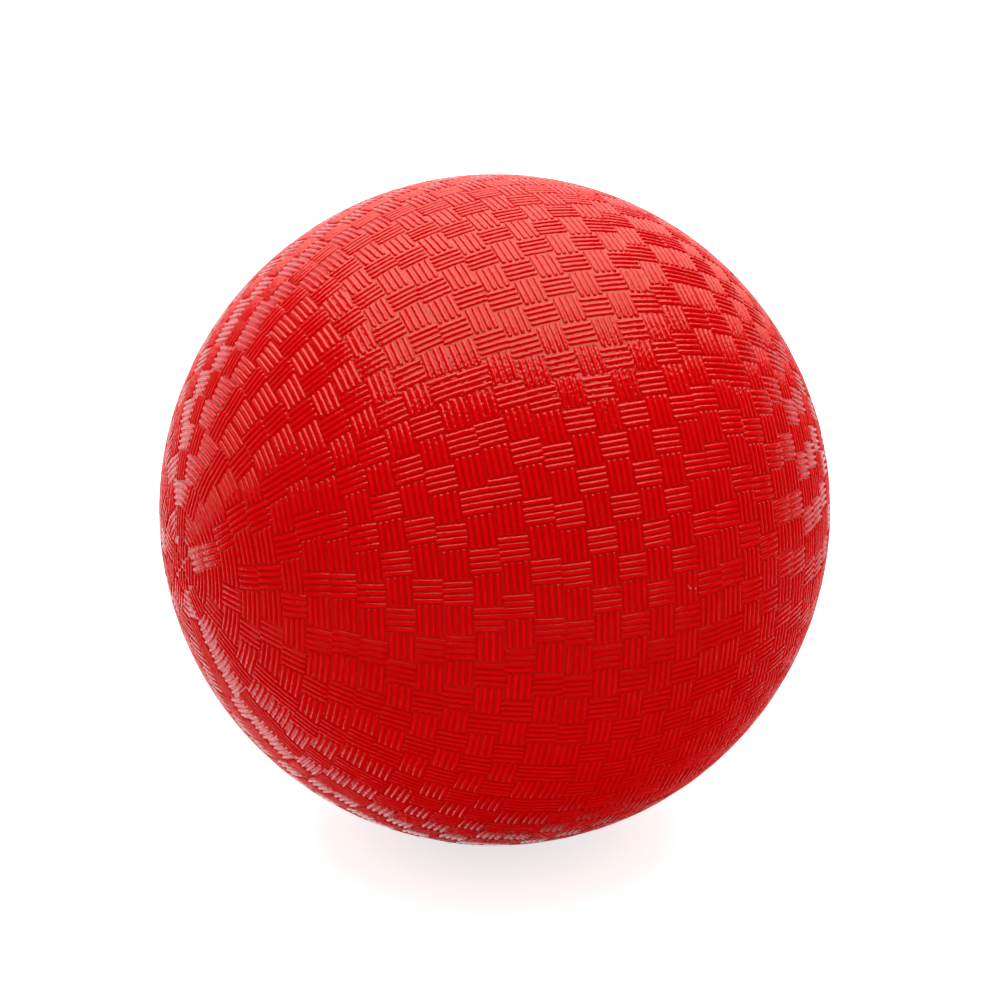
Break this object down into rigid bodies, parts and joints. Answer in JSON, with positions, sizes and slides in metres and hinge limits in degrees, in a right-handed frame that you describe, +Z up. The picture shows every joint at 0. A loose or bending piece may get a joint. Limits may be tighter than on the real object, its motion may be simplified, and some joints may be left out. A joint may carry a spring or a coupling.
{
  "type": "rubber ball",
  "caption": "Inflatable red rubber playground ball with a moulded basket-weave cover, a wound bladder and a needle valve.",
  "frame": {"origin": "the centre of the ball", "axes": "+X along the mould's axis, out of the valve; +Z up, with the ball resting on its lowest point, under its parting line"},
  "size_m": [0.216, 0.2152, 0.215],
  "materials": {
    "cover_rubber": "satin",
    "carcass_rubber": "matte",
    "nylon_thread": "satin",
    "butyl_rubber": "satin",
    "boot_rubber": "matte",
    "plug_rubber": "satin"
  },
  "bodies": {
    "root": {"cover_half_left": "cover_rubber", "cover_half_valve": "cover_rubber", "carcass_ply": "carcass_rubber", "nylon_winding": "nylon_thread", "bladder": "butyl_rubber", "valve_patch": "butyl_rubber", "valve_housing": "boot_rubber", "valve_plug": "plug_rubber"}
  },
  "joints": []
}
